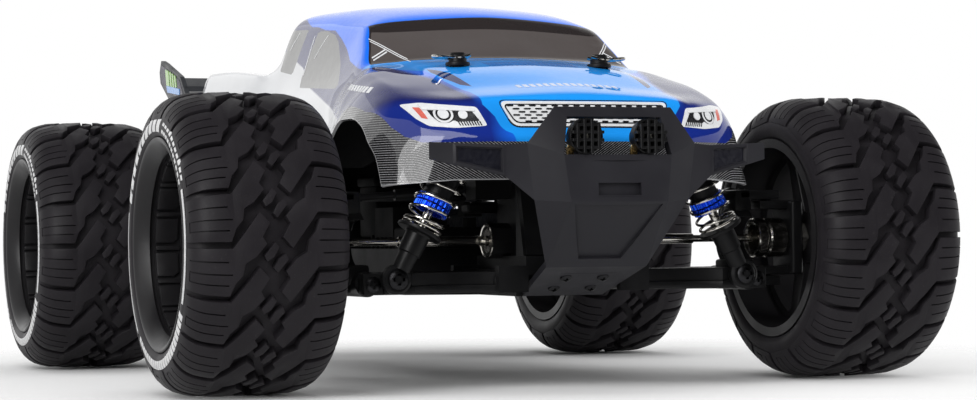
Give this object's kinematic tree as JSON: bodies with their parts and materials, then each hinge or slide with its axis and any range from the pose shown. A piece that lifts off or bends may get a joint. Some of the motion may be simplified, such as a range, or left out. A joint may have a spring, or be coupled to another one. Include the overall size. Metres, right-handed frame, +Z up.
{
  "type": "rc monster truck",
  "caption": "Radio-controlled monster truck with lugged tyres, coil-over suspension, steering, shaft drive, bent bumper with lamps, body shell and rear wing.",
  "frame": {"origin": "on the ground under the middle of the truck's box", "axes": "+Z up, front faces -Y, +X to the truck's left"},
  "size_m": [0.3386, 0.446, 0.168],
  "materials": {
    "tyre_rubber": "matte",
    "black_plastic": "satin",
    "nickel_steel": "polished",
    "blue_anodised": "anodised",
    "blue_polycarbonate": "gloss",
    "grey_nylon": "satin",
    "motor_can": "satin",
    "battery_sleeve": "gloss"
  },
  "bodies": {
    "chassis": {"chassis": "black_plastic", "front_gearbox": "black_plastic", "rear_gearbox": "black_plastic", "front_shock_tower": "black_plastic", "rear_shock_tower": "black_plastic", "front_bumper": "black_plastic", "body_shell": "blue_polycarbonate", "rear_wing": "black_plastic", "motor": "motor_can", "battery": "battery_sleeve", "speed_control": "black_plastic", "steering_servo": "black_plastic"},
    "arm_front_left": {"lower_arm_front_left": "black_plastic"},
    "upright_front_left": {"caster_block_left": "black_plastic"},
    "knuckle_left": {"knuckle_left": "black_plastic"},
    "wheel_front_left": {"tyre_front_left": "tyre_rubber", "rim_front_left": "black_plastic", "stub_axle_front_left": "nickel_steel"},
    "link_front_left": {"upper_link_front_left": "black_plastic"},
    "shaft_front_left": {"half_shaft_front_left": "nickel_steel"},
    "shock_front_left": {"shock_body_front_left": "blue_anodised", "shock_spring_front_left": "nickel_steel"},
    "shock_rod_front_left": {"shock_rod_front_left": "black_plastic"},
    "arm_front_right": {"lower_arm_front_right": "black_plastic"},
    "upright_front_right": {"caster_block_right": "black_plastic"},
    "knuckle_right": {"knuckle_right": "black_plastic"},
    "wheel_front_right": {"tyre_front_right": "tyre_rubber", "rim_front_right": "black_plastic", "stub_axle_front_right": "nickel_steel"},
    "link_front_right": {"upper_link_front_right": "black_plastic"},
    "shaft_front_right": {"half_shaft_front_right": "nickel_steel"},
    "shock_front_right": {"shock_body_front_right": "blue_anodised", "shock_spring_front_right": "nickel_steel"},
    "shock_rod_front_right": {"shock_rod_front_right": "black_plastic"},
    "arm_rear_left": {"lower_arm_rear_left": "black_plastic"},
    "upright_rear_left": {"hub_carrier_left": "black_plastic"},
    "wheel_rear_left": {"tyre_rear_left": "tyre_rubber", "rim_rear_left": "black_plastic", "stub_axle_rear_left": "nickel_steel"},
    "link_rear_left": {"upper_link_rear_left": "black_plastic"},
    "shaft_rear_left": {"half_shaft_rear_left": "nickel_steel"},
    "shock_rear_left": {"shock_body_rear_left": "blue_anodised", "shock_spring_rear_left": "nickel_steel"},
    "shock_rod_rear_left": {"shock_rod_rear_left": "black_plastic"},
    "arm_rear_right": {"lower_arm_rear_right": "black_plastic"},
    "upright_rear_right": {"hub_carrier_right": "black_plastic"},
    "wheel_rear_right": {"tyre_rear_right": "tyre_rubber", "rim_rear_right": "black_plastic", "stub_axle_rear_right": "nickel_steel"},
    "link_rear_right": {"upper_link_rear_right": "black_plastic"},
    "shaft_rear_right": {"half_shaft_rear_right": "nickel_steel"},
    "shock_rear_right": {"shock_body_rear_right": "blue_anodised", "shock_spring_rear_right": "nickel_steel"},
    "shock_rod_rear_right": {"shock_rod_rear_right": "black_plastic"},
    "servo_saver": {"servo_saver": "grey_nylon"},
    "drag_link": {"drag_link": "black_plastic"},
    "tie_rod_left": {"tie_rod_left": "nickel_steel"},
    "tie_rod_right": {"tie_rod_right": "nickel_steel"},
    "centre_shaft": {"spur_gear": "grey_nylon"},
    "pinion": {"pinion_gear": "nickel_steel"}
  },
  "joints": [
    {"name": "arm_swing_front_left", "type": "hinge", "parent": "chassis", "child": "arm_front_left", "pos_m": [0.028, -0.147, 0.044], "axis": [0, -1, 0], "range_deg": [-12, 10], "stiffness_Nm_per_rad": 1.2, "springref_deg": -6.42},
    {"name": "upright_tilt_front_left", "type": "hinge", "parent": "arm_front_left", "child": "upright_front_left", "pos_m": [0.084, -0.147, 0.0433], "axis": [0, -1, 0], "range_deg": [-10.01, 12.01]},
    {"name": "knuckle_turn_left", "type": "hinge", "parent": "upright_front_left", "child": "knuckle_left", "pos_m": [0.0995, -0.147, 0.06], "axis": [0, 0, 1], "range_deg": [-21.5, 21.5]},
    {"name": "wheel_spin_front_left", "type": "hinge", "parent": "knuckle_left", "child": "wheel_front_left", "pos_m": [0.1334, -0.147, 0.06], "axis": [1, 0, 0], "continuous": true},
    {"name": "link_swing_front_left", "type": "hinge", "parent": "chassis", "child": "link_front_left", "pos_m": [0.03, -0.1375, 0.0815], "axis": [0, -1, 0], "range_deg": [-11.49, 9.58]},
    {"name": "shaft_spin_front_left", "type": "hinge", "parent": "link_front_left", "child": "shaft_front_left", "pos_m": [0.0226, -0.147, 0.06], "axis": [1, 0, 0], "continuous": true},
    {"name": "shock_swing_front_left", "type": "hinge", "parent": "chassis", "child": "shock_front_left", "pos_m": [0.042, -0.174, 0.1085], "axis": [0, -1, 0], "range_deg": [-3.61, 3.01]},
    {"name": "shock_stroke_front_left", "type": "slide", "parent": "shock_front_left", "child": "shock_rod_front_left", "axis": [-0.4705, 0, 0.8824], "range_m": [-0.00888, 0.0074], "deforming": ["shock_spring_front_left"]},
    {"name": "arm_swing_front_right", "type": "hinge", "parent": "chassis", "child": "arm_front_right", "pos_m": [-0.028, -0.147, 0.044], "axis": [0, 1, 0], "range_deg": [-12, 10], "stiffness_Nm_per_rad": 1.2, "springref_deg": -6.42},
    {"name": "upright_tilt_front_right", "type": "hinge", "parent": "arm_front_right", "child": "upright_front_right", "pos_m": [-0.084, -0.147, 0.0433], "axis": [0, 1, 0], "range_deg": [-10.01, 12.01]},
    {"name": "knuckle_turn_right", "type": "hinge", "parent": "upright_front_right", "child": "knuckle_right", "pos_m": [-0.0995, -0.147, 0.06], "axis": [0, 0, 1], "range_deg": [-21.5, 21.5]},
    {"name": "wheel_spin_front_right", "type": "hinge", "parent": "knuckle_right", "child": "wheel_front_right", "pos_m": [-0.1334, -0.147, 0.06], "axis": [1, 0, 0], "continuous": true},
    {"name": "link_swing_front_right", "type": "hinge", "parent": "chassis", "child": "link_front_right", "pos_m": [-0.03, -0.1375, 0.0815], "axis": [0, 1, 0], "range_deg": [-11.49, 9.58]},
    {"name": "shaft_spin_front_right", "type": "hinge", "parent": "link_front_right", "child": "shaft_front_right", "pos_m": [-0.0226, -0.147, 0.06], "axis": [1, 0, 0], "continuous": true},
    {"name": "shock_swing_front_right", "type": "hinge", "parent": "chassis", "child": "shock_front_right", "pos_m": [-0.042, -0.174, 0.1085], "axis": [0, 1, 0], "range_deg": [-3.61, 3.01]},
    {"name": "shock_stroke_front_right", "type": "slide", "parent": "shock_front_right", "child": "shock_rod_front_right", "axis": [0.4705, 0, 0.8824], "range_m": [-0.00888, 0.0074], "deforming": ["shock_spring_front_right"]},
    {"name": "arm_swing_rear_left", "type": "hinge", "parent": "chassis", "child": "arm_rear_left", "pos_m": [0.028, 0.121, 0.044], "axis": [0, -1, 0], "range_deg": [-12, 10], "stiffness_Nm_per_rad": 1.2, "springref_deg": -6.42},
    {"name": "upright_tilt_rear_left", "type": "hinge", "parent": "arm_rear_left", "child": "upright_rear_left", "pos_m": [0.084, 0.121, 0.0433], "axis": [0, -1, 0], "range_deg": [-10.01, 12.01]},
    {"name": "wheel_spin_rear_left", "type": "hinge", "parent": "upright_rear_left", "child": "wheel_rear_left", "pos_m": [0.1368, 0.121, 0.06], "axis": [1, 0, 0], "continuous": true},
    {"name": "link_swing_rear_left", "type": "hinge", "parent": "chassis", "child": "link_rear_left", "pos_m": [0.03, 0.1115, 0.0815], "axis": [0, -1, 0], "range_deg": [-11.49, 9.58]},
    {"name": "shaft_spin_rear_left", "type": "hinge", "parent": "link_rear_left", "child": "shaft_rear_left", "pos_m": [0.0226, 0.121, 0.06], "axis": [1, 0, 0], "continuous": true},
    {"name": "shock_swing_rear_left", "type": "hinge", "parent": "chassis", "child": "shock_rear_left", "pos_m": [0.042, 0.148, 0.1085], "axis": [0, -1, 0], "range_deg": [-3.61, 3.01]},
    {"name": "shock_stroke_rear_left", "type": "slide", "parent": "shock_rear_left", "child": "shock_rod_rear_left", "axis": [-0.4705, 0, 0.8824], "range_m": [-0.00888, 0.0074], "deforming": ["shock_spring_rear_left"]},
    {"name": "arm_swing_rear_right", "type": "hinge", "parent": "chassis", "child": "arm_rear_right", "pos_m": [-0.028, 0.121, 0.044], "axis": [0, 1, 0], "range_deg": [-12, 10], "stiffness_Nm_per_rad": 1.2, "springref_deg": -6.42},
    {"name": "upright_tilt_rear_right", "type": "hinge", "parent": "arm_rear_right", "child": "upright_rear_right", "pos_m": [-0.084, 0.121, 0.0433], "axis": [0, 1, 0], "range_deg": [-10.01, 12.01]},
    {"name": "wheel_spin_rear_right", "type": "hinge", "parent": "upright_rear_right", "child": "wheel_rear_right", "pos_m": [-0.1368, 0.121, 0.06], "axis": [1, 0, 0], "continuous": true},
    {"name": "link_swing_rear_right", "type": "hinge", "parent": "chassis", "child": "link_rear_right", "pos_m": [-0.03, 0.1115, 0.0815], "axis": [0, 1, 0], "range_deg": [-11.49, 9.58]},
    {"name": "shaft_spin_rear_right", "type": "hinge", "parent": "link_rear_right", "child": "shaft_rear_right", "pos_m": [-0.0226, 0.121, 0.06], "axis": [1, 0, 0], "continuous": true},
    {"name": "shock_swing_rear_right", "type": "hinge", "parent": "chassis", "child": "shock_rear_right", "pos_m": [-0.042, 0.148, 0.1085], "axis": [0, 1, 0], "range_deg": [-3.61, 3.01]},
    {"name": "shock_stroke_rear_right", "type": "slide", "parent": "shock_rear_right", "child": "shock_rod_rear_right", "axis": [0.4705, 0, 0.8824], "range_m": [-0.00888, 0.0074], "deforming": ["shock_spring_rear_right"]},
    {"name": "steering", "type": "hinge", "parent": "chassis", "child": "servo_saver", "pos_m": [-0.014, -0.092, 0.075], "axis": [0, 0, 1], "range_deg": [-13, 13]},
    {"name": "drag_slide", "type": "slide", "parent": "chassis", "child": "drag_link", "axis": [1, 0, 0], "range_m": [-0.00766, 0.00766]},
    {"name": "tie_swing_left", "type": "hinge", "parent": "drag_link", "child": "tie_rod_left", "pos_m": [0.025, -0.126, 0.0784], "axis": [0, -1, 0], "range_deg": [-9.01, 7.51]},
    {"name": "tie_swing_right", "type": "hinge", "parent": "drag_link", "child": "tie_rod_right", "pos_m": [-0.025, -0.126, 0.0784], "axis": [0, 1, 0], "range_deg": [-9.01, 7.51]},
    {"name": "centre_shaft_spin", "type": "hinge", "parent": "chassis", "child": "centre_shaft", "pos_m": [0, 0.008, 0.06], "axis": [0, 1, 0], "continuous": true},
    {"name": "pinion_spin", "type": "hinge", "parent": "chassis", "child": "pinion", "pos_m": [-0.0195, 0.008, 0.06], "axis": [0, 1, 0], "continuous": true}
  ],
  "couplings": [
    {"joint": "upright_tilt_front_left", "follows": "arm_swing_front_left", "ratio": -1},
    {"joint": "knuckle_turn_left", "follows": "steering", "ratio": -1.643},
    {"joint": "link_swing_front_left", "follows": "arm_swing_front_left", "ratio": 0.957},
    {"joint": "shaft_spin_front_left", "follows": "wheel_spin_front_left", "ratio": 1},
    {"joint": "shock_swing_front_left", "follows": "arm_swing_front_left", "ratio": 0.3},
    {"joint": "shock_stroke_front_left", "follows": "arm_swing_front_left", "m_per_rad": 0.0423},
    {"joint": "upright_tilt_front_right", "follows": "arm_swing_front_right", "ratio": -1},
    {"joint": "knuckle_turn_right", "follows": "steering", "ratio": -1.643},
    {"joint": "link_swing_front_right", "follows": "arm_swing_front_right", "ratio": 0.957},
    {"joint": "shaft_spin_front_right", "follows": "wheel_spin_front_right", "ratio": 1},
    {"joint": "shock_swing_front_right", "follows": "arm_swing_front_right", "ratio": 0.3},
    {"joint": "shock_stroke_front_right", "follows": "arm_swing_front_right", "m_per_rad": 0.0423},
    {"joint": "upright_tilt_rear_left", "follows": "arm_swing_rear_left", "ratio": -1},
    {"joint": "link_swing_rear_left", "follows": "arm_swing_rear_left", "ratio": 0.957},
    {"joint": "shaft_spin_rear_left", "follows": "wheel_spin_rear_left", "ratio": 1},
    {"joint": "shock_swing_rear_left", "follows": "arm_swing_rear_left", "ratio": 0.3},
    {"joint": "shock_stroke_rear_left", "follows": "arm_swing_rear_left", "m_per_rad": 0.0423},
    {"joint": "upright_tilt_rear_right", "follows": "arm_swing_rear_right", "ratio": -1},
    {"joint": "link_swing_rear_right", "follows": "arm_swing_rear_right", "ratio": 0.957},
    {"joint": "shaft_spin_rear_right", "follows": "wheel_spin_rear_right", "ratio": 1},
    {"joint": "shock_swing_rear_right", "follows": "arm_swing_rear_right", "ratio": 0.3},
    {"joint": "shock_stroke_rear_right", "follows": "arm_swing_rear_right", "m_per_rad": 0.0423},
    {"joint": "drag_slide", "follows": "steering", "m_per_rad": 0.0337},
    {"joint": "tie_swing_left", "follows": "arm_swing_front_left", "ratio": 0.75},
    {"joint": "tie_swing_right", "follows": "arm_swing_front_right", "ratio": 0.75},
    {"joint": "pinion_spin", "follows": "centre_shaft_spin", "ratio": -2.25}
  ]
}
